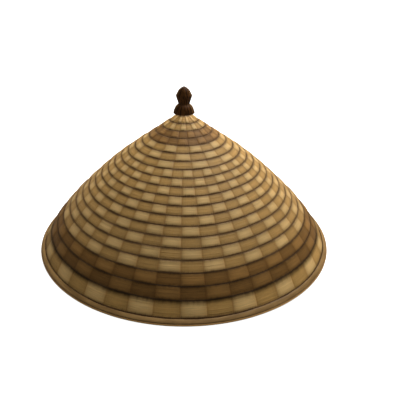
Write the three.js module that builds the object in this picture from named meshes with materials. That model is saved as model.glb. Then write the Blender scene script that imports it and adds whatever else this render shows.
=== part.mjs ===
// A conical straw hat of sewn plait, with a turned wooden finial on its tip.
// Millimetres, +Z up. The hat stands on its rim: the origin is the centre of
// the circle that it rests on, and +Z is its axis.
//
// Flat plait is sewn round and round into rows, each row's lower edge lapping
// over the row below it. The rows are steep at the brim and flatter towards the
// tip. Two pairs of rows are of dyed plait, and the long undyed stretch between
// them is made as three rings, so the body is seven rings of plait, one below
// the other. A folded strip binds the rim, and a plain peg through the hole at
// the tip holds the finial.
import * as THREE from "three";

// ---- driving dimensions ----
const SEGMENTS = 48; // facets round the hat
const FINIAL_SEGMENTS = 32;
const GAP = 0.3; // between pieces that touch

const BRIM_RADIUS = 203; // the last row's lower edge, at the top of the binding
const RIM_HEIGHT = 7.6; // that edge above the surface the hat stands on
const WALL = 2.4; // two thicknesses of plait
const LAP = 0.8; // how far a row's lower edge stands out over the next row
const TAIL = 5; // plait that runs on inside the folded binding

const TIP_HOLE_RADIUS = 3.7;
const PEG_RADIUS = 3;
const PEG_HEAD_RADIUS = 9;
const PEG_HEAD_RIM = 2;
const BORE_RADIUS = 3.3;
const BORE_DEPTH = 12;

// One line for each row of plait, from the tip down to the brim.
// width: of the row, down the slope; slope: degrees below the horizontal.
const ROWS = [
  { ring: "tip_plait", width: 18, slope: 36 },
  { ring: "tip_plait", width: 12.2, slope: 36 },
  { ring: "upper_dark_plait", width: 11.2, slope: 34.8 },
  { ring: "upper_dark_plait", width: 11.1, slope: 34.6 },
  { ring: "upper_crown_plait", width: 12.1, slope: 34.7 },
  { ring: "upper_crown_plait", width: 11.8, slope: 35.1 },
  { ring: "upper_crown_plait", width: 11.9, slope: 35.6 },
  { ring: "upper_crown_plait", width: 12, slope: 36.5 },
  { ring: "upper_crown_plait", width: 12, slope: 37.6 },
  { ring: "upper_crown_plait", width: 12.2, slope: 38.6 },
  { ring: "upper_crown_plait", width: 12.4, slope: 39.9 },
  { ring: "middle_crown_plait", width: 12.7, slope: 41.2 },
  { ring: "middle_crown_plait", width: 13, slope: 42.3 },
  { ring: "middle_crown_plait", width: 13.3, slope: 43 },
  { ring: "lower_crown_plait", width: 13.6, slope: 43.9 },
  { ring: "lower_crown_plait", width: 14, slope: 45.4 },
  { ring: "lower_crown_plait", width: 14.9, slope: 47.1 },
  { ring: "lower_dark_plait", width: 14.9, slope: 49.3 },
  { ring: "lower_dark_plait", width: 15.6, slope: 52.6 },
  { ring: "edge_plait", width: 20.2, slope: 56.8 },
];

// The turned finial, from its point down to where its underside meets the tip.
// radius, and height above the underside.
const FINIAL = [
  { at: "point", radius: 0, height: 35.9 },
  { at: "bud", radius: 1.2, height: 35.6 },
  { at: "bud", radius: 2.9, height: 34.6 },
  { at: "bud", radius: 5, height: 32.9 },
  { at: "bud", radius: 7.2, height: 30.8 },
  { at: "bud", radius: 8.7, height: 27.8 },
  { at: "bud", radius: 9.8, height: 25.8 },
  { at: "shoulder", radius: 10.4, height: 24.2 },
  { at: "shoulder", radius: 10.2, height: 23 },
  { at: "waist", radius: 9.7, height: 20.8 },
  { at: "waist", radius: 8.9, height: 18.3 },
  { at: "waist", radius: 8.1, height: 16.1 },
  { at: "neck", radius: 7.6, height: 14.7 },
  { at: "neck", radius: 7.8, height: 13.1 },
  { at: "bell", radius: 9.1, height: 11.4 },
  { at: "bell", radius: 11.1, height: 9.3 },
  { at: "bell", radius: 12.5, height: 6.6 },
  { at: "bell", radius: 13.4, height: 3.3 },
  { at: "rim", radius: 13.7, height: 1.5 },
  { at: "rim", radius: 13.5, height: 0.8 },
  { at: "rim", radius: 12.8, height: 0.3 },
  { at: "underside", radius: 11.6, height: 0.1 },
  { at: "underside", radius: 7.4, height: 0 },
];

// The binding's outside, from its outer lip round the rim to its inner lip.
// out: beyond the brim radius; drop: below the brim edge.
const BINDING = [
  { at: "outer lip", out: 1.4, drop: -0.5 },
  { at: "outer side", out: 3.6, drop: 0.9 },
  { at: "outer side", out: 5.5, drop: 2.7 },
  { at: "outer side", out: 6.6, drop: 4.2 },
  { at: "widest", out: 6.9, drop: 5.3 },
  { at: "bottom corner", out: 6.5, drop: 6.2 },
  { at: "bottom corner", out: 5.6, drop: 7 },
  { at: "bottom", out: 4.5, drop: 7.6 },
  { at: "bottom", out: 2, drop: 7.6 },
  { at: "inner corner", out: 1.3, drop: 7.2 },
];
const BINDING_STRIP = 1.2; // thickness of its inner side
const BINDING_INNER_LIP = 1; // how far that side reaches up past the brim edge

// ---- colours ----
const material = (color, roughness) =>
  new THREE.MeshStandardMaterial({ color, roughness, metalness: 0 });
const STRAW = { color: 0xb8945c, roughness: 0.72 };
const MATERIALS = {
  tip_plait: STRAW,
  upper_dark_plait: { color: 0x8a6638, roughness: 0.75 },
  upper_crown_plait: STRAW,
  middle_crown_plait: STRAW,
  lower_crown_plait: STRAW,
  lower_dark_plait: { color: 0x5b3f22, roughness: 0.78 },
  edge_plait: STRAW,
  rim_binding: { color: 0x8c6838, roughness: 0.6 },
  finial: { color: 0x3a2116, roughness: 0.4 },
  finial_peg: { color: 0x6b4a2c, roughness: 0.6 },
};

// ---- the line of the hat's outside ----
// Points are [radius, height].
const add = (p, q, k = 1) => [p[0] + q[0] * k, p[1] + q[1] * k];
const unit = (p) => {
  const length = Math.hypot(p[0], p[1]);
  return [p[0] / length, p[1] / length];
};
const down = (row) => {
  const a = THREE.MathUtils.degToRad(row.slope);
  return [Math.cos(a), -Math.sin(a)];
};
const out = (row) => {
  const a = THREE.MathUtils.degToRad(row.slope);
  return [Math.sin(a), Math.cos(a)];
};

// seams[i] is the upper edge of row i, and seams[i + 1] its lower edge. They are
// worked out from the brim up, so the brim keeps its radius.
function seamLine() {
  const points = [[BRIM_RADIUS, RIM_HEIGHT]];
  for (const row of [...ROWS].reverse())
    points.unshift(add(points[0], down(row), -row.width));
  return points.map((point, i) => {
    const above = ROWS[Math.max(i - 1, 0)];
    const below = ROWS[Math.min(i, ROWS.length - 1)];
    return {
      point,
      out: unit(add(out(above), out(below))),
      down: unit(add(down(above), down(below))),
    };
  });
}
const seams = seamLine();
const brim = seams[seams.length - 1];

// Heights on the first row at a radius near the tip: its outside, which leaves
// the seam line by the lap at its lower edge, and its inside.
const tipSlope = THREE.MathUtils.degToRad(ROWS[0].slope);
const acrossTip = 1 / Math.cos(tipSlope);
const tipOutside = (radius) => {
  const [r, z] = add(seams[1].point, seams[1].out, LAP);
  const slope = tipSlope - Math.atan(LAP / ROWS[0].width);
  return z + (r - radius) * Math.tan(slope);
};
const tipInside = (radius) =>
  seams[1].point[1] +
  (seams[1].point[0] - radius) * Math.tan(tipSlope) -
  WALL * acrossTip;

// ---- shapes ----
function turned(profile, segments) {
  const geometry = new THREE.LatheGeometry(
    profile.map(([r, z]) => new THREE.Vector2(r, z)),
    segments,
  );
  geometry.rotateX(Math.PI / 2); // the lathe's axis is Y, the hat's is Z
  return geometry;
}

// A ring of plait from row first to row last: the stepped outside, each row
// standing out at its lower edge, and a plain inside.
function plaitProfile(first, last) {
  const outside = [];
  const inside = [];
  for (let i = first; i <= last; i++) {
    const upper = seams[i];
    const lower = seams[i + 1];
    const top = add(upper.point, upper.down, i === first ? GAP / 2 : 0);
    const bottom = add(lower.point, lower.down, i === last ? -GAP / 2 : 0);
    outside.push(top, add(bottom, lower.out, LAP));
    if (i === first) inside.push(add(top, upper.out, -WALL));
    inside.push(add(bottom, lower.out, -WALL));
  }
  if (first === 0) {
    // the hole for the peg goes straight down
    outside[0] = [TIP_HOLE_RADIUS, tipOutside(TIP_HOLE_RADIUS)];
    inside[0] = [TIP_HOLE_RADIUS, tipInside(TIP_HOLE_RADIUS)];
  }
  if (last === ROWS.length - 1) {
    const end = add(brim.point, brim.down, TAIL);
    outside.push(add(brim.point, brim.down, -GAP / 2), end);
    inside[inside.length - 1] = add(end, brim.out, -WALL);
  }
  return [...inside, ...outside.reverse(), inside[0]];
}

function bindingProfile() {
  // along: down the brim's slope from its edge; off: outwards from its surface
  const at = (along, off) =>
    add(add(brim.point, brim.down, along), brim.out, off);
  const outside = BINDING.map(({ out, drop }) => [
    BRIM_RADIUS + out,
    RIM_HEIGHT - drop,
  ]);
  const innerSide = -WALL - GAP - BINDING_STRIP;
  const loop = [
    ...outside,
    at(TAIL + 0.5, innerSide),
    at(-BINDING_INNER_LIP, innerSide),
    at(-BINDING_INNER_LIP, -WALL - GAP),
    at(TAIL + GAP, -WALL - GAP),
    at(TAIL + GAP, GAP),
    at(GAP, GAP),
  ];
  return [...loop, loop[0]].reverse();
}

function finialProfile() {
  const foot = tipOutside(FINIAL[FINIAL.length - 1].radius) + GAP * acrossTip;
  const lift = foot - FINIAL[FINIAL.length - 1].height;
  const outside = FINIAL.map(({ radius, height }) => [radius, height + lift]);
  const mouth = tipOutside(BORE_RADIUS) + GAP * acrossTip;
  return [
    [0, mouth + BORE_DEPTH],
    [BORE_RADIUS, mouth + BORE_DEPTH],
    [BORE_RADIUS, mouth],
    ...outside.reverse(),
  ];
}

function pegProfile() {
  const ceiling = (radius) => tipInside(radius) - GAP * acrossTip;
  const top = tipOutside(BORE_RADIUS) + BORE_DEPTH;
  const rim = ceiling(PEG_HEAD_RADIUS);
  return [
    [0, rim - PEG_HEAD_RIM],
    [PEG_HEAD_RADIUS, rim - PEG_HEAD_RIM],
    [PEG_HEAD_RADIUS, rim],
    [PEG_RADIUS, ceiling(PEG_RADIUS)],
    [PEG_RADIUS, top],
    [0, top],
  ];
}

// ---- the hat ----
const hat = new THREE.Group();
function place(name, geometry, parent) {
  const { color, roughness } = MATERIALS[name];
  const mesh = new THREE.Mesh(geometry, material(color, roughness));
  mesh.name = name;
  parent.add(mesh);
}

const body = new THREE.Group();
hat.add(body);
for (const name of new Set(ROWS.map((row) => row.ring))) {
  const first = ROWS.findIndex((row) => row.ring === name);
  const last = ROWS.findLastIndex((row) => row.ring === name);
  place(name, turned(plaitProfile(first, last), SEGMENTS), body);
}
place("rim_binding", turned(bindingProfile(), SEGMENTS), body);

const top = new THREE.Group();
hat.add(top);
place("finial", turned(finialProfile(), FINIAL_SEGMENTS), top);
place("finial_peg", turned(pegProfile(), FINIAL_SEGMENTS), top);

export default hat;
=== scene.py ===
import math

import bpy
import numpy as np
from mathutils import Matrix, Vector


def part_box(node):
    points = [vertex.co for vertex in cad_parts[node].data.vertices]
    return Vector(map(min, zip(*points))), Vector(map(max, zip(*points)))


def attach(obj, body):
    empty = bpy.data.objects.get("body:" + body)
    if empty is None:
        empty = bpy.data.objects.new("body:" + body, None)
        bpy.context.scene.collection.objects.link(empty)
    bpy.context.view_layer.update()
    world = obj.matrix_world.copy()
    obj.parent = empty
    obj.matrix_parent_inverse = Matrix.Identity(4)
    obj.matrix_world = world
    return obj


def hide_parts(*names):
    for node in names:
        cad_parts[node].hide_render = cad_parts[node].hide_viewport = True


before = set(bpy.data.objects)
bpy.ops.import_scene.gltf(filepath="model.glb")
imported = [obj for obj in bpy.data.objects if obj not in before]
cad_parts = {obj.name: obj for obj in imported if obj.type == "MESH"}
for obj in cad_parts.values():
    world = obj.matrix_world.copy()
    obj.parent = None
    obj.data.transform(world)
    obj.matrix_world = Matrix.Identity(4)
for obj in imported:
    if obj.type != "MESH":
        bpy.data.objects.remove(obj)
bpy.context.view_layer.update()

# A conical straw hat: rows of flat plait sewn one below the other, a cane
# binding at the rim and a turned wooden finial. Measures are millimetres until
# a mesh is made. Azimuth 0 is the front (-Y) and grows towards +X.

MM = 0.001
RNG = np.random.default_rng(7)

# ------------------------------------------------------------ measures
BRIM_RADIUS = 203.0
RIM_HEIGHT = 7.6
WALL = 2.4
GAP = 0.3
TAIL = 5.0
HOLE_RADIUS = 3.8
PATTERN_TURN = math.radians(-1.4)  # where the plait's blocks are counted from

# width down the slope, slope below the horizontal, straws side by side, a brightness factor on the row's colour
ROWS = [
    dict(ring="tip", width=18.0, slope=36.0, straws=9, tone=1.35),
    dict(ring="tip", width=12.2, slope=36.0, straws=6, tone=1.15),
    dict(ring="upper_dark", width=11.2, slope=34.8, straws=6, tone=1.0),
    dict(ring="upper_dark", width=11.1, slope=34.6, straws=6, tone=0.93),
    dict(ring="crown_a", width=12.1, slope=34.7, straws=6, tone=1.05),
    dict(ring="crown_a", width=11.8, slope=35.1, straws=6, tone=1.04),
    dict(ring="crown_a", width=11.9, slope=35.6, straws=6, tone=1.04),
    dict(ring="crown_b", width=12.0, slope=36.5, straws=6, tone=1.05),
    dict(ring="crown_b", width=12.0, slope=37.6, straws=6, tone=1.03),
    dict(ring="crown_b", width=12.2, slope=38.6, straws=6, tone=1.02),
    dict(ring="crown_b", width=12.4, slope=39.9, straws=6, tone=0.99),
    dict(ring="crown_c", width=12.7, slope=41.2, straws=6, tone=0.99),
    dict(ring="crown_c", width=13.0, slope=42.3, straws=6, tone=0.98),
    dict(ring="crown_c", width=13.3, slope=43.0, straws=6, tone=0.93),
    dict(ring="crown_d", width=13.6, slope=43.9, straws=6, tone=0.89),
    dict(ring="crown_d", width=14.0, slope=45.4, straws=6, tone=0.89),
    dict(ring="crown_d", width=14.9, slope=47.1, straws=7, tone=0.91),
    dict(ring="lower_dark", width=14.9, slope=49.3, straws=7, tone=0.80),
    dict(ring="lower_dark", width=15.6, slope=52.6, straws=7, tone=0.79),
    dict(ring="edge", width=20.2, slope=56.8, straws=9, tone=1.06),
]
COARSE_ROWS = 7  # rows from the tip that have half as many blocks
BLOCKS = (20, 40)

RINGS = [
    dict(ring="tip", piece="tip_rows", node="tip_plait", slot="natural_plait"),
    dict(ring="upper_dark", piece="upper_dark_rows", node="upper_dark_plait", slot="brown_plait"),
    dict(ring="crown_a", piece="crown_rows_1", node="upper_crown_plait", slot="natural_plait"),
    dict(ring="crown_b", piece="crown_rows_2", node="upper_crown_plait", slot="natural_plait"),
    dict(ring="crown_c", piece="crown_rows_3", node="middle_crown_plait", slot="natural_plait"),
    dict(ring="crown_d", piece="crown_rows_4", node="lower_crown_plait", slot="natural_plait"),
    dict(ring="lower_dark", piece="lower_dark_rows", node="lower_dark_plait", slot="dark_brown_plait"),
    dict(ring="edge", piece="edge_row", node="edge_plait", slot="natural_plait"),
]


def unit(v):
    return v / np.linalg.norm(v, axis=-1, keepdims=True)


def seam_line():
    """Seams from the tip hole to the brim: points [radius, height] and outward normals."""
    slopes = np.radians([row["slope"] for row in ROWS])
    down = np.stack([np.cos(slopes), -np.sin(slopes)], 1)
    out = np.stack([np.sin(slopes), np.cos(slopes)], 1)
    points = [np.array([BRIM_RADIUS, RIM_HEIGHT])]
    for i in reversed(range(len(ROWS))):
        points.insert(0, points[0] - down[i] * ROWS[i]["width"])
    normals = [out[0]] + [unit(out[i - 1] + out[i]) for i in range(1, len(ROWS))] + [out[-1]]
    return np.array(points), np.array(normals)


SEAM_POINTS, SEAM_NORMALS = seam_line()


def smooth(x, lo, hi):
    t = np.clip((x - lo) / (hi - lo), 0.0, 1.0)
    return t * t * (3 - 2 * t)


def ripple(az, seed, waves, amount):
    """A smooth closed wobble round the ring."""
    rng = np.random.default_rng(seed)
    total = np.zeros_like(az)
    for n in waves:
        total += rng.normal() * np.cos(n * az + rng.uniform(0, 2 * math.pi)) / len(waves) ** 0.5
    return total * amount


# the hand that sewed it let the seams stray: azimuth in degrees, mm down the slope
STRAY = [
    (-180, 0.0), (-110, 0.2), (-90, 0.5), (-75, 0.7), (-60, -0.15), (-49, -0.6), (-37, -0.15), (-20, -0.25), (-11, 0.15),
    (0, 0.65), (8, 0.8), (17, 0.5), (28, -0.25), (38, -0.85), (48, -0.55), (60, 0.0), (74, 0.8), (90, 0.6), (110, 0.0), (180, 0.0),
]
# how far each seam lies below its even place, mm
SEAM_DROP = [0, 0.3, 0, 0.3, 0.45, 0.3, 0.35, 0.35, 0.33, 0.38, 0.33, 0.32, 0.24, 0.14, 0.1, 0.0, -0.1, -0.45, -0.3, -0.3, 0]


# how far the plait's blocks run ahead of an even spacing: azimuth in degrees, degrees
DRIFT = [
    (-180, 0.0), (-110, 1.6), (-90, 1.9), (-75, 1.8), (-60, 1.6), (-50, 1.2), (-40, 0.9), (-20, 0.4), (0, 0.15),
    (20, -0.35), (30, -0.7), (40, -1.15), (50, -1.6), (60, -1.9), (72, -2.2), (90, -2.4), (110, -2.0), (180, 0.0),
]


def drift(az, k):
    """Where row k's blocks really lie for an even azimuth az."""
    at, degrees = np.array(DRIFT).T
    turn = np.degrees((az + math.pi) % (2 * math.pi) - math.pi)
    ahead = sum(np.interp(turn + d, at, degrees) for d in (-8, -4, 0, 4, 8)) / 5
    amount, start = (1.0, 0.0) if k >= COARSE_ROWS else (1.35, -0.3) if k > 3 else (2.0, -1.1)
    return az + np.radians(amount * ahead + start * (1 - smooth(np.abs(turn), 90.0, 180.0)))


# how far the binding's upper edge strays down the slope: azimuth in degrees, mm
FOLD = [
    (-180, 0.0), (-85, 0.0), (-70, 0.25), (-60, -0.3), (-50, -0.65), (-40, -0.25), (-30, 0.2), (-10, 0.2), (0, 0.45), (10, 0.65),
    (20, 0.0), (30, -0.7), (40, -0.35), (50, 0.0), (70, 0.25), (85, 0.0), (180, 0.0),
]


def fold_stray(az):
    at, mm = np.array(FOLD).T
    turn = np.degrees((az + math.pi) % (2 * math.pi) - math.pi)
    return np.interp(turn, at, mm) + ripple(az, 73, (11, 19, 31, 43), 0.09)


def stray(az, k):
    """How far seam k strays down the slope at each azimuth."""
    if k == 0 or k == len(ROWS):
        return np.zeros_like(az)
    at, mm = np.array(STRAY).T
    turn = np.degrees((az + math.pi) % (2 * math.pi) - math.pi)
    bend = sum(np.interp(turn + d, at, mm) for d in (-4, -2, 0, 2, 4)) / 5
    amount = float(smooth(np.array(k), 5.0, 11.0)) * (1.0 + 0.25 * float(smooth(np.array(k), 16.0, 19.0)))
    return SEAM_DROP[k] + amount * bend + ripple(az, 500 + k, (3, 5, 8, 13, 21), 0.14)


# ------------------------------------------------------------ meshes
def new_object(name, verts_mm, quads, uvs=None, facts=None, tris=None, smooth_faces=True):
    """verts_mm: (n, 3); quads: (m, 4) indices. uvs: {layer: (m*4, 2)}; facts: {attribute: (n, 3) or (n,)}."""
    mesh = bpy.data.meshes.new(name)
    quads = np.asarray(quads, np.int32).reshape(-1, 4)
    tris = np.zeros((0, 3), np.int32) if tris is None else np.asarray(tris, np.int32).reshape(-1, 3)
    loops = np.concatenate([quads.ravel(), tris.ravel()])
    sizes = np.concatenate([np.full(len(quads), 4), np.full(len(tris), 3)]).astype(np.int32)
    starts = (np.cumsum(sizes) - sizes).astype(np.int32)
    mesh.vertices.add(len(verts_mm))
    mesh.vertices.foreach_set("co", (np.asarray(verts_mm) * MM).astype(np.float32).ravel())
    mesh.loops.add(len(loops))
    mesh.loops.foreach_set("vertex_index", loops.astype(np.int32))
    mesh.polygons.add(len(sizes))
    mesh.polygons.foreach_set("loop_start", starts)
    mesh.polygons.foreach_set("loop_total", sizes)
    for layer, values in (uvs or {}).items():
        uv = mesh.uv_layers.new(name=layer, do_init=False)
        uv.data.foreach_set("uv", np.asarray(values, np.float32).ravel())
    for attribute, values in (facts or {}).items():
        values = np.asarray(values, np.float32)
        kind, key = ("FLOAT_VECTOR", "vector") if values.ndim == 2 else ("FLOAT", "value")
        made = mesh.attributes.new(attribute, kind, "POINT")
        made.data.foreach_set(key, values.ravel())
    mesh.update(calc_edges=True)
    mesh.validate()
    mesh.polygons.foreach_set("use_smooth", np.full(len(mesh.polygons), smooth_faces))
    obj = bpy.data.objects.new(name, mesh)
    bpy.context.scene.collection.objects.link(obj)
    return obj


def grid_quads(n_round, n_loop):
    """Quads of a grid closed both ways: n_round columns round the axis, n_loop points in each section."""
    i = np.arange(n_round)[:, None]
    j = np.arange(n_loop)[None, :]
    a = i * n_loop + j
    b = ((i + 1) % n_round) * n_loop + j
    c = ((i + 1) % n_round) * n_loop + (j + 1) % n_loop
    d = i * n_loop + (j + 1) % n_loop
    return np.stack([a, b, c, d], -1).reshape(-1, 4)


def corner_uv(u_cols, v_loop):
    """Corner UVs for grid_quads: u_cols has n_round + 1 values, v_loop n_loop + 1."""
    u0 = np.repeat(u_cols[:-1], len(v_loop) - 1)
    u1 = np.repeat(u_cols[1:], len(v_loop) - 1)
    v0 = np.tile(v_loop[:-1], len(u_cols) - 1)
    v1 = np.tile(v_loop[1:], len(u_cols) - 1)
    return np.stack([u0, v0, u1, v0, u1, v1, u0, v1], -1).reshape(-1, 2)


def join_parts(parts):
    """Several (verts, quads, uvs, facts) as one."""
    verts, quads, offset = [], [], 0
    for p in parts:
        verts.append(p["verts"])
        quads.append(p["quads"] + offset)
        offset += len(p["verts"])
    uvs = {k: np.concatenate([p["uvs"][k] for p in parts]) for k in parts[0]["uvs"]}
    facts = {k: np.concatenate([p["facts"][k] for p in parts]) for k in parts[0]["facts"]}
    return np.concatenate(verts), np.concatenate(quads), uvs, facts


# ------------------------------------------------------------ a row of plait
FINE = np.array([0.0, 0.03, 0.08, 0.2, 0.35, 0.5, 0.65, 0.8, 0.92, 0.97])
FINE_WIDE = np.array([0.0, 0.025, 0.06, 0.12, 0.24, 0.37, 0.5, 0.63, 0.76, 0.88, 0.94, 0.975])


def row_frame(k, s):
    """Points and outward normals at distances s down row k."""
    width = ROWS[k]["width"]
    v = (s / width)[:, None]
    point = SEAM_POINTS[k] * (1 - v) + SEAM_POINTS[k + 1] * v
    w = np.clip(v, 0, 1)
    normal = unit(SEAM_NORMALS[k] * (1 - w) + SEAM_NORMALS[k + 1] * w)
    return point, normal


def crown(k, v):
    """Height of the row's outside over the seam line, before its weave."""
    width = ROWS[k]["width"]
    s = v * width
    if k == 0:
        v = smooth(v, 0.35, 1.0) * 0.5 + 0.5 * v
        return 0.15 + 0.8 * (1 - np.abs(2 * v - 1) ** 2.4) * smooth(s, 4.0, 9.0) + 0.6 * smooth(v, 0.5, 1.0)
    tuck = -0.32 * np.exp(-s / 1.0)
    return tuck + 0.4 + 0.53 * (1 - smooth(k, 8.0, 14.0)) + (0.27 + 0.1 * smooth(k, 9.0, 14.0)) * (1 - np.abs(2 * v - 1) ** 2.3)


def seam_shade_depth(k):
    """Seams are painted darker towards the brim: painted shade in the seam grooves."""
    return 1.0 - 0.3 * float(smooth(np.array(k), 7.0, 18.0))


def flatness(k):
    """How evenly a row keeps its tone up to its seams, dropping that much of the painted row shade: the dyed rows take
    less of it.
    """
    return {"lower_dark": 0.35, "upper_dark": 0.3}.get(ROWS[k]["ring"], 0.0)


def edge_painted_shade(az, k):
    """The edge row's tone round the ring: set so that it reads right under this light."""
    if k < len(ROWS) - 1:
        return np.ones_like(az)
    turn = np.degrees((az + math.pi) % (2 * math.pi) - math.pi)
    # painted shade: the edge row is painted a little lighter on its left and darker on both flanks, to suit how this
    # light falls
    side = 1.07 - 0.07 * smooth(turn, -20.0, 30.0)
    return side * (1 - 0.3 * smooth(np.abs(turn), 60.0, 88.0) * (1 - smooth(np.abs(turn), 95.0, 140.0)))


def row_part(k):
    row = ROWS[k]
    width, lanes = row["width"], row["straws"]
    blocks = BLOCKS[0] if k < COARSE_ROWS else BLOCKS[1]
    first, last = k == 0, k == len(ROWS) - 1
    steps = FINE_WIDE if k < COARSE_ROWS else FINE
    count = blocks * len(steps)

    # columns round the ring
    start = -(blocks // 2)
    u = (start + np.arange(blocks)[:, None] + steps[None, :]).ravel()
    u_cols = np.append(u, start + blocks)
    half = 0.5 if k < COARSE_ROWS else 0.0
    az = drift((u - half) * 2 * math.pi / blocks + PATTERN_TURN, k)
    block = np.floor(u + 1e-6).astype(int)
    fu = u - block
    light = ((block + k) % 2).astype(float)
    block_i = block - start

    # the section: (part, s, v) in a closed loop
    v_out = np.append((np.arange(lanes)[:, None] + np.array([0.0, 0.25, 0.75])[None, :]).ravel() / lanes, 1.0)
    v_in = np.linspace(1.0, 0.0, 10)
    s_out = v_out * width
    h_out = crown(k, v_out)
    if first:
        s_top, h_top = np.zeros(0), np.zeros(0)
        s_end, h_end = np.array([0.0]), np.array([-1.2])
        h_in = -2.3 + 0.9 * smooth(v_in, 0.6, 0.95)
        s_in = v_in * (width - 1.0)
    else:
        s_top, h_top = np.array([-3.0, -1.1]), np.array([-1.4, -1.3])
        s_end, h_end = np.array([-3.15, -3.3]), np.array([-2.35, -1.9])
        h_in = -2.45 + 1.1 * smooth(v_in, 0.45, 0.97) + 0.12 * np.sin(v_in * math.pi)
        s_in = -2.7 + v_in * (width + 2.2)
    if last:
        s_lip = np.array([width + 2.0, width + TAIL - 0.3, width + TAIL])
        h_lip = np.array([-0.25, -0.3, -1.2])
        s_in = -2.7 + v_in * (width + 2.7 + TAIL - 0.4)
        h_in = -2.3 + 0.0 * v_in
    else:
        s_lip = np.array([width + 0.26, width + 0.22, width - 0.15])
        h_lip = np.array([-0.42, -0.85, -1.12])
    s = np.concatenate([s_top, s_out, s_lip, s_in, s_end])
    h = np.concatenate([h_top, h_out, h_lip, h_in, h_end])
    v = np.clip(s / width, 0, 1)
    n_top, n_out, n_lip, n_in = len(s_top), len(s_out), len(s_lip), len(s_in)
    outside = np.zeros(len(s))
    outside[n_top : n_top + n_out] = 1
    inside = np.zeros(len(s))
    inside[n_top + n_out + n_lip : n_top + n_out + n_lip + n_in] = 1
    lane_pos = v * lanes
    lane = np.clip(np.floor(lane_pos + 1e-6).astype(int), 0, lanes - 1)
    in_gap = np.abs(lane_pos - np.round(lane_pos)) < 0.02

    # weave: blocks whose straws lie on top, and blocks whose straws lie under
    rng = np.random.default_rng(100 + k)
    block_mm = 2 * math.pi * 0.5 * (SEAM_POINTS[k][0] + SEAM_POINTS[k + 1][0]) / blocks
    edge_mm = np.minimum(fu, 1 - fu) * block_mm
    plateau = smooth(edge_mm, 0.1, min(2.2, 0.16 * block_mm))
    arch = 1 - (2 * fu - 1) ** 2
    lift = np.where(light > 0, 0.34 * plateau + 0.2 * arch, -0.14 * plateau + 0.05 * arch)
    lift -= 0.2 * np.exp(-((edge_mm / 0.45) ** 2))
    straw_lift = rng.normal(0, 0.05, (blocks, lanes))
    straw_sink = 0.13 + rng.uniform(0, 0.07, (blocks, lanes))

    window = smooth(s, 0.3, 2.2) * smooth(width - s, -0.2, 1.4)
    if first:
        window = smooth(s, 5.0, 8.5) * smooth(width - s, -0.2, 1.4)
    relief = np.zeros((count, len(s)))
    relief += outside[None, :] * window[None, :] * lift[:, None]
    piece = straw_lift[block_i][:, lane] * plateau[:, None]
    sink = straw_sink[block_i][:, lane]
    relief += outside[None, :] * window[None, :] * np.where(in_gap[None, :], -sink, piece)
    relief -= inside[None, :] * (smooth(v, 0.0, 0.15) * smooth(1 - v, 0.0, 0.15))[None, :] * (-lift[:, None] * 0.8)
    wobble = ripple(az, 900 + k, (2, 3, 5, 9, 14), 0.1)
    relief += wobble[:, None]

    # seams wander a little, and each row shares them with its neighbours
    upper, lower = stray(az, k), stray(az, k + 1)
    shift = upper[:, None] * (1 - v)[None, :] + lower[:, None] * v[None, :]

    point, normal = row_frame(k, s)
    tangent = unit(SEAM_POINTS[k + 1] - SEAM_POINTS[k])
    rz = point[None] + normal[None] * (h[None, :] + relief)[..., None] + tangent[None, None] * shift[..., None]
    r, z = rz[..., 0], rz[..., 1]
    if first:
        r = np.maximum(r, HOLE_RADIUS)
    verts = np.stack([r * np.sin(az)[:, None], -r * np.cos(az)[:, None], z], -1).reshape(-1, 3)

    v_loop = np.append(v, v[0])
    s_loop = np.append(s, s[0])
    radius_mid = 0.5 * (SEAM_POINTS[k][0] + SEAM_POINTS[k + 1][0])
    arc_cols = u_cols * 2 * math.pi / blocks * radius_mid
    n = len(verts)
    return dict(
        verts=verts,
        quads=grid_quads(count, len(s)),
        uvs={"plait": corner_uv(u_cols, v_loop), "plait_mm": corner_uv(arc_cols, s_loop)},
        facts={
            "row_facts": np.tile(np.array([k, lanes, width], float), (n, 1)),
            "block_facts": np.stack([np.full(n, block_mm), np.tile(inside, count), np.tile(1 - outside - inside, count)], 1),
            # how light the row is made, with painted shade round the edge row's flanks; how dark its seams are
            # painted, as painted shade; whether its top lies in the shade of the dark rows
            "tone_facts": np.repeat(
                np.stack([row["tone"] * edge_painted_shade(az, k), np.full(count, seam_shade_depth(k)), np.full(count, float(last))], 1), len(s), 0
            ),
            # how much of the painted row shade the row drops, whether it lies under the finial
            "even_facts": np.tile(np.array([flatness(k), float(first), 0.0]), (n, 1)),
        },
    )


# ------------------------------------------------------------ materials
RIB_PITCH = 2.4
# painted shade across a row, from its upper edge to its lower edge: darkest at its seams
ROW_SHADE = [(0, 0.42), (0.04, 0.43), (0.08, 0.49), (0.13, 0.59), (0.18, 0.69), (0.23, 0.78), (0.28, 0.85), (0.34, 0.91), (0.42, 0.97), (0.5, 1.0), (0.6, 0.99), (0.7, 0.95), (0.78, 0.89), (0.85, 0.80), (0.9, 0.71), (0.95, 0.58), (1, 0.45)]


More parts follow.
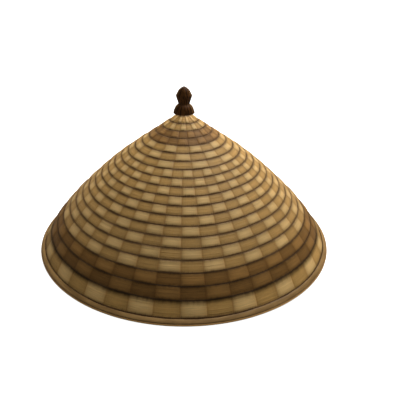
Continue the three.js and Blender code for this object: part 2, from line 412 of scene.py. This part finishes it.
class Graph:
    """Short calls that add shader nodes."""

    def __init__(self, name):
        self.material = bpy.data.materials.new(name)
        self.material.use_nodes = True
        self.tree = self.material.node_tree
        self.tree.nodes.clear()
        self.output = self.tree.nodes.new("ShaderNodeOutputMaterial")
        self.shader = self.tree.nodes.new("ShaderNodeBsdfPrincipled")
        self.link(self.shader.outputs["BSDF"], self.output.inputs["Surface"])

    def link(self, a, b):
        self.tree.links.new(a, b)

    def put(self, socket, value):
        if value is None:
            return
        if isinstance(value, bpy.types.NodeSocket):
            self.link(value, socket)
        elif isinstance(value, (tuple, list)) and len(value) == 3 and socket.type == "RGBA":
            socket.default_value = (*value, 1.0)
        else:
            socket.default_value = value

    def math(self, op, a, b=None, c=None, clamp=False):
        node = self.tree.nodes.new("ShaderNodeMath")
        node.operation = op
        node.use_clamp = clamp
        for socket, value in zip(node.inputs, (a, b, c)):
            self.put(socket, value)
        return node.outputs[0]

    def add(self, a, b):
        return self.math("ADD", a, b)

    def sub(self, a, b):
        return self.math("SUBTRACT", a, b)

    def mul(self, a, b):
        return self.math("MULTIPLY", a, b)

    def smooth(self, x, lo, hi, out_lo=0.0, out_hi=1.0):
        node = self.tree.nodes.new("ShaderNodeMapRange")
        node.interpolation_type = "SMOOTHSTEP"
        for name, value in (("Value", x), ("From Min", lo), ("From Max", hi), ("To Min", out_lo), ("To Max", out_hi)):
            self.put(node.inputs[name], value)
        return node.outputs["Result"]

    def curve(self, x, stops):
        """A value drawn through stops of (x, y), both 0 to 1."""
        node = self.tree.nodes.new("ShaderNodeValToRGB")
        self.put(node.inputs[0], x)
        ramp = node.color_ramp
        ramp.interpolation = "LINEAR"
        while len(ramp.elements) < len(stops):
            ramp.elements.new(0.5)
        for i, (at, value) in enumerate(stops):
            ramp.elements[i].position = at
        for i, (at, value) in enumerate(stops):
            ramp.elements[i].color = (value, value, value, 1.0)
        # a colour becomes a value by its luminance, so take one channel
        split = self.tree.nodes.new("ShaderNodeSeparateColor")
        self.link(node.outputs["Color"], split.inputs[0])
        return split.outputs[0]

    def mix(self, factor, a, b, blend="MIX"):
        node = self.tree.nodes.new("ShaderNodeMix")
        node.data_type = "RGBA"
        node.blend_type = blend
        node.clamp_factor = True
        self.put(node.inputs[0], factor)
        self.put(node.inputs[6], a)
        self.put(node.inputs[7], b)
        return node.outputs[2]

    def scale(self, colour, factor):
        node = self.tree.nodes.new("ShaderNodeVectorMath")
        node.operation = "SCALE"
        self.put(node.inputs[0], colour)
        self.put(node.inputs["Scale"], factor)
        return node.outputs[0]

    def vector(self, x, y, z):
        node = self.tree.nodes.new("ShaderNodeCombineXYZ")
        for socket, value in zip(node.inputs, (x, y, z)):
            self.put(socket, value)
        return node.outputs[0]

    def split(self, vector):
        node = self.tree.nodes.new("ShaderNodeSeparateXYZ")
        self.put(node.inputs[0], vector)
        return node.outputs[0], node.outputs[1], node.outputs[2]

    def uv(self, layer):
        node = self.tree.nodes.new("ShaderNodeUVMap")
        node.uv_map = layer
        return self.split(node.outputs[0])

    def attribute(self, name):
        node = self.tree.nodes.new("ShaderNodeAttribute")
        node.attribute_name = name
        return node.outputs["Vector"]

    def place(self):
        return self.tree.nodes.new("ShaderNodeTexCoord").outputs["Object"]

    def noise(self, vector, scale=1.0, detail=3.0, roughness=0.55):
        node = self.tree.nodes.new("ShaderNodeTexNoise")
        self.put(node.inputs["Vector"], vector)
        node.inputs["Scale"].default_value = scale
        node.inputs["Detail"].default_value = detail
        node.inputs["Roughness"].default_value = roughness
        return node.outputs[0]

    def random(self, vector):
        node = self.tree.nodes.new("ShaderNodeTexWhiteNoise")
        node.noise_dimensions = "3D"
        self.put(node.inputs["Vector"], vector)
        return node.outputs["Value"]

    def bump(self, height, distance, strength=1.0):
        node = self.tree.nodes.new("ShaderNodeBump")
        node.inputs["Strength"].default_value = strength
        node.inputs["Distance"].default_value = distance
        self.put(node.inputs["Height"], height)
        self.link(node.outputs[0], self.shader.inputs["Normal"])

    def finish(self, colour, roughness, specular=0.5):
        self.put(self.shader.inputs["Base Color"], colour)
        self.put(self.shader.inputs["Roughness"], roughness)
        self.shader.inputs["Specular IOR Level"].default_value = specular
        return self.material


def plait_material(name, over, over_edge, under, seam, even_row=1.0, specular=0.12):
    """Straws in blocks: over where they lie on top, under where they pass below. even_row dims the even rows."""
    g = Graph(name)
    u, v, _ = g.uv("plait")
    arc, down, _ = g.uv("plait_mm")
    row, lanes, width = g.split(g.attribute("row_facts"))
    block_mm, inside, hidden = g.split(g.attribute("block_facts"))
    row_tone, seam_shade_tone, shaded = g.split(g.attribute("tone_facts"))
    flat, under_finial, _ = g.split(g.attribute("even_facts"))

    block = g.math("FLOOR", u)
    fu = g.sub(u, block)
    on_top = g.math("FLOORED_MODULO", g.add(g.add(block, row), inside), 2.0)
    lane_pos = g.mul(v, lanes)
    lane = g.math("FLOOR", lane_pos)
    fl = g.sub(lane_pos, lane)
    seam_mm = g.math("MINIMUM", down, g.sub(width, down))
    fold = g.math("MINIMUM", fu, g.sub(1.0, fu))
    fold_mm = g.mul(fold, block_mm)

    # grain along the straws, and the small ribs that the stitching pulls across them
    straw_tone = g.random(g.vector(block, lane, g.add(row, g.mul(inside, 31.0))))
    block_tone = g.random(g.vector(block, row, 3.7))
    fibre = g.noise(g.vector(g.mul(arc, 0.08), g.mul(down, 1.9), g.add(row, straw_tone)), 1.0, 3.0, 0.6)
    streak = g.noise(g.vector(g.mul(arc, 0.06), g.mul(down, 0.75), g.mul(row, 5.0)), 1.0, 2.0, 0.5)
    patch = g.noise(g.place(), 14.0, 3.0, 0.5)
    jitter = g.noise(g.vector(g.mul(arc, 0.31), g.mul(row, 9.0), 0.0), 1.0, 2.0, 0.6)
    rib_length = g.random(g.vector(g.math("FLOOR", g.mul(arc, 1 / RIB_PITCH)), row, 8.1))
    rib = g.math("SINE", g.add(g.mul(arc, 2 * math.pi / RIB_PITCH), g.mul(jitter, 5.0)))

    # a block that lies on top is painted palest in its middle, a painted highlight on the raised block, and darker
    # towards its folds and seams as painted shade; one that passes under is even but for painted shade where it folds
    core = g.curve(g.mul(fold, 2.0), [(0, 0.0), (0.12, 0.24), (0.25, 0.5), (0.4, 0.72), (0.6, 0.88), (0.8, 0.96), (1, 1.0)])
    middle = g.curve(v, [(0, 0.05), (0.05, 0.2), (0.1, 0.38), (0.16, 0.57), (0.22, 0.73), (0.3, 0.88), (0.4, 0.98), (0.5, 1.0), (0.6, 0.97), (0.7, 0.88), (0.78, 0.74), (0.85, 0.57), (0.92, 0.34), (1, 0.05)])
    lid = g.mix(g.mul(core, middle), over_edge, over)
    # further down the plait, the blocks that pass under are darker
    under = g.mix(g.smooth(row, 10.0, 14.5, 0.0, 0.065), under, (0.0, 0.0, 0.0))
    beneath = g.scale(under, g.curve(g.mul(fold, 2.0), [(0, 0.86), (0.2, 0.9), (0.45, 0.96), (1, 1.0)]))
    turn = g.smooth(g.add(fold_mm, g.mul(fibre, 0.5)), -0.3, 0.9)
    base = g.mix(g.mul(on_top, turn), beneath, lid)

    tone = g.add(
        g.add(g.smooth(straw_tone, 0.0, 1.0, -0.05, 0.05), g.smooth(block_tone, 0.0, 1.0, -0.035, 0.035)),
        g.add(g.smooth(fibre, 0.28, 0.72, -0.085, 0.085), g.smooth(patch, 0.3, 0.7, -0.04, 0.04)),
    )
    tone = g.add(g.add(tone, 1.0), g.smooth(streak, 0.3, 0.7, -0.06, 0.06))
    even = g.math("FLOORED_MODULO", row, 2.0)
    tone = g.mul(g.mul(tone, row_tone), g.smooth(even, 0.0, 1.0, even_row, 1.0))
    base = g.mix(g.smooth(streak, 0.45, 0.8, 0.0, 0.3), base, g.mix(1.0, base, (1.0, 0.88, 0.70), "MULTIPLY"))
    base = g.scale(base, tone)

    # each row is painted darker towards its seams as painted shade, and the folds and gaps between straws show as soft
    # lines of painted shade
    base = g.scale(base, g.smooth(flat, 0.0, 1.0, g.curve(v, ROW_SHADE), 1.0))
    line = g.smooth(g.add(fold_mm, g.smooth(fibre, 0.3, 0.7, -0.15, 0.15)), 2.2, 0.0)
    gap_mm = g.mul(g.math("MINIMUM", fl, g.sub(1.0, fl)), g.math("DIVIDE", width, lanes))
    gap = g.smooth(gap_mm, 0.35, 0.05)
    base = g.mix(g.mul(line, 0.5), base, g.mix(1.0, base, (0.80, 0.73, 0.68), "MULTIPLY"))
    base = g.scale(base, g.sub(1.0, g.mul(gap, 0.06)))

    # the seam between two rows: painted dark, part the thread's colour and part painted shade in the groove, with
    # ragged teeth where the stitches pull; the tucked-under parts take the same painted shade
    reach = g.add(g.mul(rib, 0.6), g.smooth(rib_length, 0.0, 1.0, -0.6, 0.6))
    tooth = g.mul(g.smooth(rib, -0.4, 0.9), g.smooth(g.add(seam_mm, g.smooth(rib_length, 0.0, 1.0, -0.8, 0.8)), 3.2, 0.5))
    base = g.scale(base, g.sub(1.0, g.add(g.mul(tooth, 0.45), g.mul(g.smooth(rib, -0.5, 0.9), 0.03))))
    above = g.mul(g.smooth(g.add(down, g.mul(reach, 0.5)), 1.9, 0.35), 0.92)
    below = g.smooth(g.add(g.sub(width, down), g.mul(reach, 0.5)), 1.1, 0.0)
    dark = g.math("MAXIMUM", g.math("MAXIMUM", above, below), g.mul(hidden, 0.9))
    base = g.mix(dark, base, g.scale(seam, seam_shade_tone))
    # painted shade over the edge row's top, where it lies below the dark rows, and painted light towards its lower end
    top_mm = g.add(down, g.mul(reach, 1.0))
    base = g.scale(base, g.sub(1.0, g.mul(shaded, g.smooth(top_mm, 7.5, -0.5, 0.0, 0.70))))
    base = g.scale(base, g.add(1.0, g.mul(shaded, g.smooth(down, 12.0, 18.0, 0.0, 0.12))))
    # the shade at the foot of the finial, which casts no shadow of its own
    base = g.mix(g.mul(under_finial, g.smooth(down, 9.0, 5.1, 0.0, 0.76)), base, g.mix(1.0, base, (0.24, 0.20, 0.23), "MULTIPLY"))

    rough = g.add(g.smooth(fibre, 0.3, 0.7, 0.48, 0.6), g.mul(dark, 0.25))
    height = g.add(g.mul(fibre, 0.5), g.add(g.mul(g.sub(1.0, gap), 0.5), g.mul(g.mul(tooth, -1.0), 0.6)))
    g.bump(height, 0.00022, 0.7)
    return g.finish(base, rough, specular)


def cane_material():
    g = Graph("rim_cane")
    arc, across, _ = g.uv("cane_mm")
    fibre = g.noise(g.vector(g.mul(arc, 0.035), g.mul(across, 2.2), 0.0), 1.0, 4.0, 0.6)
    patch = g.noise(g.vector(g.mul(arc, 0.03), g.mul(across, 0.15), 4.0), 1.0, 3.0, 0.6)
    groove, lip_light, edge = g.split(g.attribute("groove"))
    base = g.mix(g.smooth(patch, 0.3, 0.72), (0.173, 0.098, 0.032), (0.247, 0.147, 0.052))
    # painted light: the lower roll is painted paler, as if lit from the floor below
    base = g.mix(lip_light, base, (0.44, 0.255, 0.086))
    base = g.scale(base, g.smooth(fibre, 0.25, 0.75, 0.84, 1.14))
    base = g.scale(base, g.smooth(patch, 0.3, 0.7, 0.9, 1.1))
    fuzz = g.noise(g.vector(g.mul(arc, 0.9), g.mul(across, 0.5), 2.0), 1.0, 3.0, 0.6)
    # painted shade along the binding's upper edge, where it meets the plait
    base = g.mix(g.smooth(g.add(edge, g.smooth(fuzz, 0.3, 0.7, -0.25, 0.25)), 0.2, 0.9, 0.0, 0.92), base, (0.05, 0.026, 0.012))
    # painted shade in the groove
    base = g.mix(g.mul(groove, 0.8), base, (0.085, 0.045, 0.019))
    g.bump(g.mul(fibre, 1.0), 0.0002, 0.6)
    return g.finish(base, g.smooth(fibre, 0.3, 0.7, 0.46, 0.6), 0.12)


def wood_material(name, dark, light, grain=(180.0, 14.0), roughness=(0.32, 0.46), specular=0.5):
    g = Graph(name)
    x, y, z = g.split(g.place())
    angle = g.math("ARCTAN2", y, x)
    ring = g.math("SQRT", g.add(g.mul(x, x), g.mul(y, y)))
    coords = g.vector(g.mul(x, grain[0]), g.mul(y, grain[0]), g.mul(z, grain[1]))
    fine = g.noise(g.vector(g.mul(x, grain[0] * 4.0), g.mul(y, grain[0] * 4.0), g.mul(z, grain[1] * 2.0)), 1.0, 4.0, 0.6)
    broad = g.noise(coords, 1.0, 3.0, 0.6)
    figure = g.smooth(g.add(g.mul(broad, 0.7), g.mul(fine, 0.3)), 0.36, 0.66)
    base = g.mix(figure, dark, light)
    base = g.scale(base, g.smooth(fine, 0.2, 0.8, 0.75, 1.2))
    g.bump(g.add(g.mul(fine, 0.6), g.mul(broad, 0.4)), 0.0002, 0.5)
    return g.finish(base, g.smooth(fine, 0.3, 0.7, *roughness), specular)


def finial_material():
    """Dark turned wood with reddish figure that runs up and down it."""
    g = Graph("finial_wood")
    x, y, z = g.split(g.place())
    angle = g.math("ARCTAN2", y, x)
    ring = g.vector(g.math("COSINE", angle), g.math("SINE", angle), g.mul(z, 9.0))
    broad = g.noise(ring, 6.5, 2.0, 0.5)
    fine = g.noise(ring, 19.0, 3.0, 0.6)
    figure = g.smooth(g.add(g.mul(broad, 0.65), g.mul(fine, 0.35)), 0.42, 0.6)
    base = g.mix(figure, (0.029, 0.0115, 0.0034), (0.105, 0.042, 0.0105))
    base = g.scale(base, g.smooth(fine, 0.25, 0.75, 0.8, 1.15))
    g.bump(g.add(g.mul(fine, 0.6), g.mul(broad, 0.4)), 0.00012, 0.5)
    return g.finish(base, g.smooth(fine, 0.3, 0.7, 0.4, 0.55), 0.06)


def thread_material(name, colour):
    g = Graph(name)
    x, y, z = g.split(g.place())
    twist = g.noise(g.place(), 900.0, 2.0, 0.5)
    base = g.scale(g.mix(0.0, colour, colour), g.smooth(twist, 0.25, 0.75, 0.7, 1.25))
    return g.finish(base, 0.75, 0.3)


# seam: the colour painted along each seam, part thread and part painted shade
STRAW = dict(over=(0.640, 0.424, 0.171), over_edge=(0.468, 0.284, 0.101), under=(0.448, 0.262, 0.081), seam=(0.17, 0.095, 0.039))
MATERIALS = {
    "natural_plait": plait_material("natural_plait", **STRAW),
    "edge_plait": plait_material("natural_plait_edge", **STRAW, specular=0.04),
    "brown_plait": plait_material(
        "brown_plait",
        over=(0.39, 0.211, 0.070),
        over_edge=(0.29, 0.151, 0.048),
        under=(0.275, 0.144, 0.046),
        seam=(0.20, 0.112, 0.050),
        specular=0.08,
    ),
    "dark_brown_plait": plait_material(
        "dark_brown_plait",
        over=(0.345, 0.182, 0.053),
        over_edge=(0.25, 0.130, 0.037),
        under=(0.245, 0.125, 0.035),
        seam=(0.085, 0.047, 0.021),
        even_row=0.85,
        specular=0.05,
    ),
}
MATERIALS["rim_cane"] = cane_material()
MATERIALS["finial_wood"] = finial_material()
MATERIALS["peg_wood"] = wood_material("peg_wood", (0.20, 0.11, 0.05), (0.32, 0.19, 0.09), roughness=(0.5, 0.65))
THREAD = {
    "natural_plait": thread_material("seam_thread", (0.16, 0.089, 0.038)),
    "brown_plait": thread_material("seam_thread_brown", (0.15, 0.083, 0.037)),
    "dark_brown_plait": thread_material("seam_thread_dark", (0.075, 0.041, 0.018)),
}


def finish_piece(obj, material, nodes, body="root"):
    obj.data.materials.append(material)
    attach(obj, body)
    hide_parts(*nodes)
    return obj


# ------------------------------------------------------------ the rows
for ring in RINGS:
    parts = [row_part(k) for k, row in enumerate(ROWS) if row["ring"] == ring["ring"]]
    verts, quads, uvs, facts = join_parts(parts)
    obj = new_object(ring["piece"], verts, quads, uvs, facts)
    finish_piece(obj, MATERIALS["edge_plait" if ring["ring"] == "edge" else ring["slot"]], [ring["node"]])


# ------------------------------------------------------------ stitches along the seams
STITCH_PITCH = RIB_PITCH


def stitches(k):
    """Thread over the lower edge of row k, as short arcs across the seam."""
    rng = np.random.default_rng(300 + k)
    width = ROWS[k]["width"]
    radius = SEAM_POINTS[k + 1][0]
    count = int(round(2 * math.pi * radius / STITCH_PITCH))
    az = (np.arange(count) + rng.uniform(-0.12, 0.12, count)) * 2 * math.pi / count
    length = rng.uniform(0.5, 1.3, count)
    lean = rng.normal(0, 0.12, count)
    if k == len(ROWS) - 1:
        path = [(-1.0, 0.05, -0.25), (-0.7, 0.33, 0.0), (0.0, 0.38, 0.0), (0.75, 0.5, 0.0)]
    else:
        path = [(-1.0, -0.2, 0.0), (-0.7, 0.14, 0.0), (0.0, 0.12, 0.0), (0.6, -0.5, 0.0)]
    wave = stray(az, k + 1)
    wobble = ripple(az, 900 + k, (2, 3, 5, 9, 14), 0.1)
    sides, half = 4, 0.23
    centres = []
    tangent = unit(SEAM_POINTS[k + 1] - SEAM_POINTS[k])
    for along, off, _ in path:
        s = width + np.where(along < 0, along * length, along)
        point, normal = row_frame(k, s)
        base = crown(k, np.clip(s / width, 0, 1)) if k < len(ROWS) - 1 else crown(k, np.clip(s / width, 0, 1))
        rz = point + normal * (base + off + wobble)[:, None] + tangent * wave[:, None]
        side_mm = lean * (s - width)
        a = az + side_mm / radius
        centres.append(np.stack([rz[:, 0] * np.sin(a), -rz[:, 0] * np.cos(a), rz[:, 1]], -1))
    centres = np.stack(centres, 1)  # count, 4, 3
    step = np.zeros_like(centres)
    step[:, 1:-1] = centres[:, 2:] - centres[:, :-2]
    step[:, 0] = centres[:, 1] - centres[:, 0]
    step[:, -1] = centres[:, -1] - centres[:, -2]
    step = unit(step)
    round_ = np.stack([np.cos(az), np.sin(az), np.zeros(count)], -1)[:, None, :] * np.ones((1, len(path), 1))
    up = unit(np.cross(step, round_))
    round_ = np.cross(up, step)
    turn = np.arange(sides) * 2 * math.pi / sides + math.pi / 4
    taper = np.array([0.55, 1.0, 1.0, 0.6])[None, :, None, None]
    verts = centres[:, :, None, :] + half * taper * (
        np.cos(turn)[None, None, :, None] * round_[:, :, None, :] + np.sin(turn)[None, None, :, None] * up[:, :, None, :]
    )
    verts = verts.reshape(-1, 3)
    n_path = len(path)
    quads = []
    base_i = np.arange(count)[:, None] * (n_path * sides)
    for p in range(n_path - 1):
        for q in range(sides):
            a = p * sides + q
            b = p * sides + (q + 1) % sides
            quads.append(base_i + np.array([[a, b, b + sides, a + sides]]))
    quads.append(base_i + np.array([[3, 2, 1, 0]]))
    top = (n_path - 1) * sides
    quads.append(base_i + np.array([[top, top + 1, top + 2, top + 3]]))
    return dict(verts=verts, quads=np.concatenate(quads).reshape(-1, 4), uvs={}, facts={})


for ring in RINGS:
    parts = [stitches(k) for k, row in enumerate(ROWS) if row["ring"] == ring["ring"]]
    verts, quads, _, _ = join_parts(parts)
    obj = new_object(ring["piece"] + "_stitches", verts, quads)
    finish_piece(obj, THREAD[ring["slot"]], [ring["node"]])


# ------------------------------------------------------------ rim binding
def smooth_loop(points, per_edge):
    """Catmull-Rom through a closed list of points, each edge cut in per_edge."""
    p = np.array(points, float)
    n = len(p)
    out = []
    for i in range(n):
        p0, p1, p2, p3 = p[(i - 1) % n], p[i], p[(i + 1) % n], p[(i + 2) % n]
        for j in range(per_edge[i]):
            t = j / per_edge[i]
            out.append(
                0.5 * (2 * p1 + (p2 - p0) * t + (2 * p0 - 5 * p1 + 4 * p2 - p3) * t * t + (3 * p1 - p0 - 3 * p2 + p3) * t**3)
            )
    return np.array(out)


def binding():
    slope = math.radians(ROWS[-1]["slope"])
    down = np.array([math.cos(slope), -math.sin(slope)])
    out = np.array([math.sin(slope), math.cos(slope)])
    edge = np.array([BRIM_RADIUS, RIM_HEIGHT])

    def at(along, off):
        return edge + down * along + out * off

    def rim(out_mm, drop_mm):
        return np.array([BRIM_RADIUS + out_mm, RIM_HEIGHT - drop_mm])

    # the split cane outside, a groove, the roll at the very edge, and the turned-in side
    points = [
        (at(0.72, 0.35), 1), (at(0.62, 0.85), 2), (rim(1.9, 0.0), 3), (rim(3.6, 0.9), 3),
        (rim(5.0, 1.9), 2), (rim(5.7, 2.6), 1), (rim(5.95, 3.0), 1), (rim(5.85, 3.35), 1),
        (rim(6.15, 3.55), 1), (rim(6.95, 4.3), 2), (rim(7.45, 5.3), 2), (rim(6.8, 6.0), 2),
        (rim(5.4, 6.8), 2), (rim(4.2, 7.57), 1), (rim(3.6, 7.59), 1), (rim(2.0, 7.57), 1),
        (rim(1.2, 7.1), 2), (at(5.5, -3.9), 2), (at(2.5, -4.0), 2), (at(-0.6, -3.9), 1),
        (at(-1.15, -3.4), 1), (at(-1.0, -2.75), 1), (at(2.0, -2.72), 1), (at(TAIL + GAP, -2.6), 1),
        (at(TAIL + GAP + 0.1, -1.0), 1), (at(TAIL + GAP, 0.25), 1), (at(2.6, 0.32), 1),
    ]
    loop = smooth_loop([p for p, _ in points], [c for _, c in points])
    names = [i for i, (_, c) in enumerate(points) for _ in range(c)]
    # masks: painted shade in the groove, painted light on the lower roll, painted shade along the upper edge
    groove = np.array([{6: 0.5, 7: 1.0, 8: 0.5}.get(i, 0.0) for i in names])
    lip_light = np.array([1.0 if 9 <= i <= 12 else 0.0 for i in names])
    upper_edge_shade = np.array([{25: 1.0, 26: 1.0, 0: 1.0, 1: 0.7}.get(i, 0.0) for i in names])
    n_loop, n_round = len(loop), 352
    az = np.arange(n_round) * 2 * math.pi / n_round
    outer = smooth(loop[:, 0], 204.0, 207.0)
    swell = ripple(az, 71, (2, 5, 9, 16, 27), 0.1)
    wave = ripple(az, 72, (3, 7, 12, 19), 0.1)
    r = loop[None, :, 0] + swell[:, None] * outer[None, :]
    # it stands on its underside, so that stays flat
    z = loop[None, :, 1] + wave[:, None] * outer[None, :] * smooth(loop[:, 1], 2.0, 6.0)[None, :]
    # its upper edge is folded by hand, and lifts where it comes over the plait
    near_edge = np.array([{0: 1.0, 1: 0.85, 2: 0.3, 26: 0.4}.get(i, 0.0) for i in names])
    slide = fold_stray(az)[:, None] * near_edge[None, :]
    lift = np.maximum(-slide, 0.0) * 0.25
    r = r + slide * down[0] + lift * out[0]
    z = z + slide * down[1] + lift * out[1]
    verts = np.stack([r * np.sin(az)[:, None], -r * np.cos(az)[:, None], z], -1).reshape(-1, 3)
    length = np.append(0, np.cumsum(np.linalg.norm(np.diff(np.vstack([loop, loop[:1]]), axis=0), axis=1)))
    arc = np.append(az, 2 * math.pi) * BRIM_RADIUS
    facts = {"groove": np.tile(np.stack([groove, lip_light, upper_edge_shade], -1), (n_round, 1))}
    return verts, grid_quads(n_round, n_loop), {"cane_mm": corner_uv(arc, length)}, facts


verts, quads, uvs, facts = binding()
finish_piece(new_object("cane_binding", verts, quads, uvs, facts), MATERIALS["rim_cane"], ["rim_binding"])


# ------------------------------------------------------------ finial and peg
def turned(name, profile, segments):
    """A turned solid from a profile that starts and ends on the axis, upper end last."""
    profile = np.asarray(profile, float)
    az = np.arange(segments) * 2 * math.pi / segments
    body = profile[1:-1]
    r, z = body[:, 0][None, :], body[:, 1][None, :] * np.ones((segments, 1))
    ring = np.stack([r * np.sin(az)[:, None], -r * np.cos(az)[:, None], z], -1).reshape(-1, 3)
    n = len(body)
    verts = np.concatenate([ring, [[0, 0, profile[0, 1]], [0, 0, profile[-1, 1]]]])
    i = np.arange(segments)[:, None]
    j = np.arange(n - 1)[None, :]
    a, b = i * n + j, ((i + 1) % segments) * n + j
    quads = np.stack([a, b, b + 1, a + 1], -1).reshape(-1, 4)
    k = np.arange(segments)
    low = np.stack([np.full(segments, len(ring)), ((k + 1) % segments) * n, k * n], -1)
    high = np.stack([np.full(segments, len(ring) + 1), k * n + n - 1, ((k + 1) % segments) * n + n - 1], -1)
    return new_object(name, verts, quads, tris=np.concatenate([low, high]))


def through(points, cuts):
    """A smooth open curve through points."""
    p = np.array(points, float)
    p = np.vstack([2 * p[0] - p[1], p, 2 * p[-1] - p[-2]])
    out = []
    for i in range(1, len(p) - 2):
        for j in range(cuts):
            t = j / cuts
            out.append(
                0.5
                * (
                    2 * p[i]
                    + (p[i + 1] - p[i - 1]) * t
                    + (2 * p[i - 1] - 5 * p[i] + 4 * p[i + 1] - p[i + 2]) * t * t
                    + (3 * p[i] - p[i - 1] - 3 * p[i + 1] + p[i + 2]) * t**3
                )
            )
    return np.vstack([out, p[-2:-1]])


finial_low, finial_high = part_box("finial")
FINIAL = [  # radius, height under the point; the foot bevels in to where it sits on the tip
    (9.0, 36.2), (10.2, 36.05), (11.7, 35.65), (13.1, 35.3), (14.05, 34.9), (14.4, 34.3), (13.95, 32.4), (12.95, 29.5),
    (11.8, 26.9), (10.2, 24.8), (8.25, 23.0), (7.8, 21.4), (8.25, 20.0), (9.1, 17.6), (10.0, 15.1), (10.6, 12.9),
    (10.8, 11.7), (10.25, 10.1), (9.15, 8.0), (7.75, 5.4), (5.75, 3.1), (3.6, 1.35), (1.8, 0.4),
]
point_z = finial_high.z / MM + 0.5
outside = through([(r, point_z - 0.5 - h) for r, h in FINIAL], 4)
seat = SEAM_POINTS[1][1] + (SEAM_POINTS[1][0] - 3.3) * math.tan(math.radians(33.4)) + 1.2
profile = [(0.0, seat + 12.0), (3.3, seat + 12.0), (3.3, seat), (7.0, point_z - 36.3), *outside.tolist(), (0.0, point_z)]
knob = finish_piece(turned("turned_finial", profile, 96), MATERIALS["finial_wood"], ["finial"])
knob.visible_shadow = False  # the studio's light wraps round it: no shadow falls on the plait

peg_low, peg_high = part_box("finial_peg")
foot, top = peg_low.z / MM, peg_high.z / MM
profile = [
    (0.0, foot), (2.0, foot + 0.02), (6.5, foot + 0.05), (8.3, foot + 0.25), (8.9, foot + 0.8), (9.0, foot + 1.5),
    (8.8, foot + 2.1), (6.0, foot + 4.0), (3.2, foot + 5.8), (3.0, foot + 6.4), (3.0, top - 0.3), (2.7, top), (0.0, top),
]
finish_piece(turned("headed_peg", profile, 64), MATERIALS["peg_wood"], ["finial_peg"])


# ------------------------------------------------------------ floor, light, camera
floor_mesh = bpy.data.meshes.new("studio_floor")
size = 30.0
floor_mesh.from_pydata([(-size, -size, -0.0002), (size, -size, -0.0002), (size, size, -0.0002), (-size, size, -0.0002)], [], [(0, 1, 2, 3)])
floor = bpy.data.objects.new("studio_floor", floor_mesh)
bpy.context.scene.collection.objects.link(floor)
g = Graph("studio_floor")
# white to the camera, like the wall; what it throws back on the hat is softer
seen = g.tree.nodes.new("ShaderNodeLightPath").outputs["Is Camera Ray"]
g.finish(g.mix(seen, (0.35, 0.35, 0.35), (0.9, 0.9, 0.9)), 0.9, 0.0)
g.shader.inputs["Emission Color"].default_value = (1, 1, 1, 1)
g.link(g.mul(seen, 1.0), g.shader.inputs["Emission Strength"])
floor.data.materials.append(g.material)

world = bpy.data.worlds.new("studio")
bpy.context.scene.world = world
world.use_nodes = True
background = world.node_tree.nodes["Background"]
background.inputs["Color"].default_value = (1.0, 1.0, 1.0, 1.0)
# the studio's far wall is white to the camera and dim to the hat, which the key light shapes
seen = world.node_tree.nodes.new("ShaderNodeLightPath")


def world_node(kind, operation=None, **values):
    node = world.node_tree.nodes.new(kind)
    if operation:
        node.operation = operation
    for key, value in values.items():
        socket = node.inputs[int(key[1:])] if key[0] == "i" and key[1:].isdigit() else node.inputs[key.replace("_", " ")]
        if isinstance(value, bpy.types.NodeSocket):
            world.node_tree.links.new(value, socket)
        else:
            socket.default_value = value
    return node.outputs[0]


# the wall shines in the gloss, low down, behind the hat and more on the key's side
way = world.node_tree.nodes.new("ShaderNodeSeparateXYZ")
world.node_tree.links.new(world.node_tree.nodes.new("ShaderNodeTexCoord").outputs["Generated"], way.inputs[0])
low = world_node("ShaderNodeMapRange", Value=way.outputs[2], From_Min=0.72, From_Max=0.16, To_Min=0.0, To_Max=1.0)
side = world_node("ShaderNodeMapRange", Value=way.outputs[0], From_Min=-0.6, From_Max=0.6, To_Min=1.8, To_Max=4.6)
back = world_node("ShaderNodeMapRange", Value=way.outputs[1], From_Min=0.25, From_Max=0.85, To_Min=0.3, To_Max=1.3)
wall = world_node("ShaderNodeMath", "MULTIPLY", i0=world_node("ShaderNodeMath", "MULTIPLY", i0=low, i1=back), i1=side)
gloss = world_node("ShaderNodeMath", "MULTIPLY", i0=wall, i1=seen.outputs["Is Glossy Ray"])
plain = world_node("ShaderNodeMapRange", Value=seen.outputs["Is Camera Ray"], To_Min=0.17, To_Max=1.0)
level = world_node("ShaderNodeMath", "ADD", i0=plain, i1=gloss)
world.node_tree.links.new(level, background.inputs["Strength"])
# in the gloss the wall takes the straw's own warmth
warm = world.node_tree.nodes.new("ShaderNodeMix")
warm.data_type = "RGBA"
warm.inputs[6].default_value = (1.0, 1.0, 1.0, 1.0)
warm.inputs[7].default_value = (1.0, 0.68, 0.32, 1.0)
world.node_tree.links.new(seen.outputs["Is Glossy Ray"], warm.inputs[0])
world.node_tree.links.new(warm.outputs[2], background.inputs["Color"])


def sun(name, azimuth, elevation, strength, angle, colour=(1, 1, 1)):
    data = bpy.data.lights.new(name, "SUN")
    data.energy = strength
    data.angle = math.radians(angle)
    data.color = colour
    obj = bpy.data.objects.new(name, data)
    a, e = math.radians(azimuth), math.radians(elevation)
    # the lamp shines down its -Z; azimuth as on the hat, elevation above the floor
    to_light = np.array([math.cos(e) * math.sin(a), -math.cos(e) * math.cos(a), math.sin(e)])
    obj.rotation_euler = Vector(to_light).to_track_quat("Z", "Y").to_euler()
    bpy.context.scene.collection.objects.link(obj)
    return obj


sun("key", 142, 59, 3.77, 28)
bpy.context.scene.view_settings.view_transform = "Standard"

camera_data = bpy.data.cameras.new("camera")
camera_data.sensor_width = 36.0
camera_data.lens = 36.0 * 450.35 / 420.0
camera_data.shift_x = 26.0 / 420.0
camera_data.clip_end = 100.0
camera = bpy.data.objects.new("camera", camera_data)
camera.location = (0.0, -0.5920, RIM_HEIGHT * MM + 0.34807)
camera.rotation_euler = (math.radians(90 - 28.294), 0.0, 0.0)
bpy.context.scene.collection.objects.link(camera)
bpy.context.scene.camera = camera
